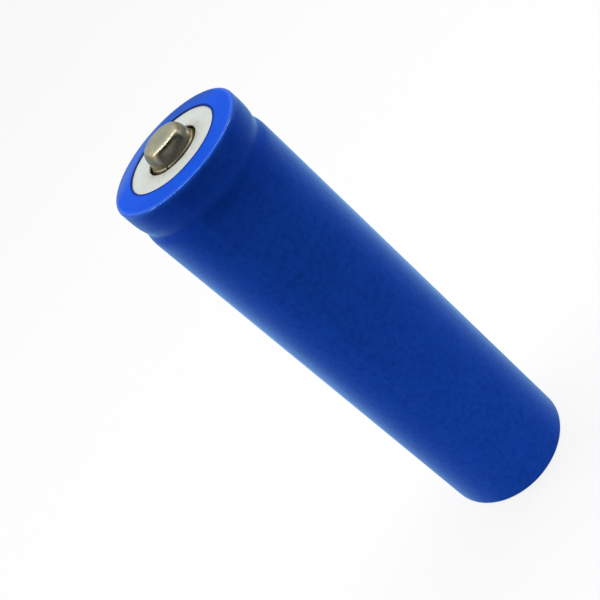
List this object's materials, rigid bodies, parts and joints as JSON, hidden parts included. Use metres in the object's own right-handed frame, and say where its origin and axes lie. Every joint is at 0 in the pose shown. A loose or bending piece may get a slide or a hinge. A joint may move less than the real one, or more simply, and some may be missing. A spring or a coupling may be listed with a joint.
{
  "type": "cylindrical battery cell",
  "caption": "Cylindrical rechargeable cell with a blue shrink sleeve, raised metal button, white insulator ring, shallow groove and flat base contact.",
  "frame": {"origin": "centre of the base, on the cell's axis, level with the lower lip of the sleeve", "axes": "+Z along the cell's axis from the flat negative base to the raised positive button; the connecting strip runs down the side at 99 degrees clockwise from +X"},
  "size_m": [0.0186, 0.0186, 0.0696],
  "materials": {
    "sleeve_blue": "glossy blue heat-shrink PVC",
    "ring_white": "matt white vulcanised fibre",
    "nickel_plate": "nickel-plated steel, lightly rubbed",
    "can_steel": "drawn nickel-plated steel",
    "gasket_black": "moulded polypropylene",
    "ptc_dark": "conductive polymer, dark grey",
    "alu_foil": "soft aluminium sheet",
    "pp_white": "natural polypropylene",
    "film_blue": "translucent blue-tinted film",
    "anode_black": "graphite coating on copper foil",
    "cathode_black": "oxide coating on aluminium foil",
    "separator_white": "porous polyolefin film",
    "tape_amber": "polyimide tape",
    "nickel_strip": "rolled nickel strip",
    "board_green": "solder-masked glass-epoxy laminate",
    "fish_paper": "pale insulating paper",
    "chip_black": "moulded epoxy with tinned leads",
    "ceramic_tan": "multilayer ceramic with tinned ends"
  },
  "bodies": {
    "cell": {"outer_sleeve": "sleeve_blue", "insulator_ring": "ring_white", "button_cap": "nickel_plate", "header_cap": "nickel_plate", "cell_can": "can_steel", "sealing_gasket": "gasket_black", "ptc_ring": "ptc_dark", "vent_disc": "alu_foil", "cid_insulator_ring": "pp_white", "cid_base_plate": "alu_foil", "cathode_tab": "alu_foil", "top_insulator_disc": "film_blue", "anode_sheet": "anode_black", "separator_inner": "separator_white", "cathode_sheet": "cathode_black", "separator_outer": "separator_white", "winding_tape": "tape_amber", "centre_pin": "can_steel", "anode_tab": "nickel_strip", "bottom_insulator_disc": "film_blue", "strip_tape": "tape_amber", "positive_strip": "nickel_strip", "bottom_contact_disc": "nickel_plate", "protection_board": "board_green", "board_insulator_disc": "fish_paper", "negative_link": "nickel_strip", "switch_chip": "chip_black", "guard_chip": "chip_black", "resistor_a": "chip_black", "resistor_b": "chip_black", "capacitor": "ceramic_tan"},
    "vent": {"vent_dome": "alu_foil"}
  },
  "joints": [
    {"name": "vent_snap", "type": "slide", "parent": "cell", "child": "vent", "axis": [0, 0, 1], "range_m": [0, 0.0005]}
  ]
}
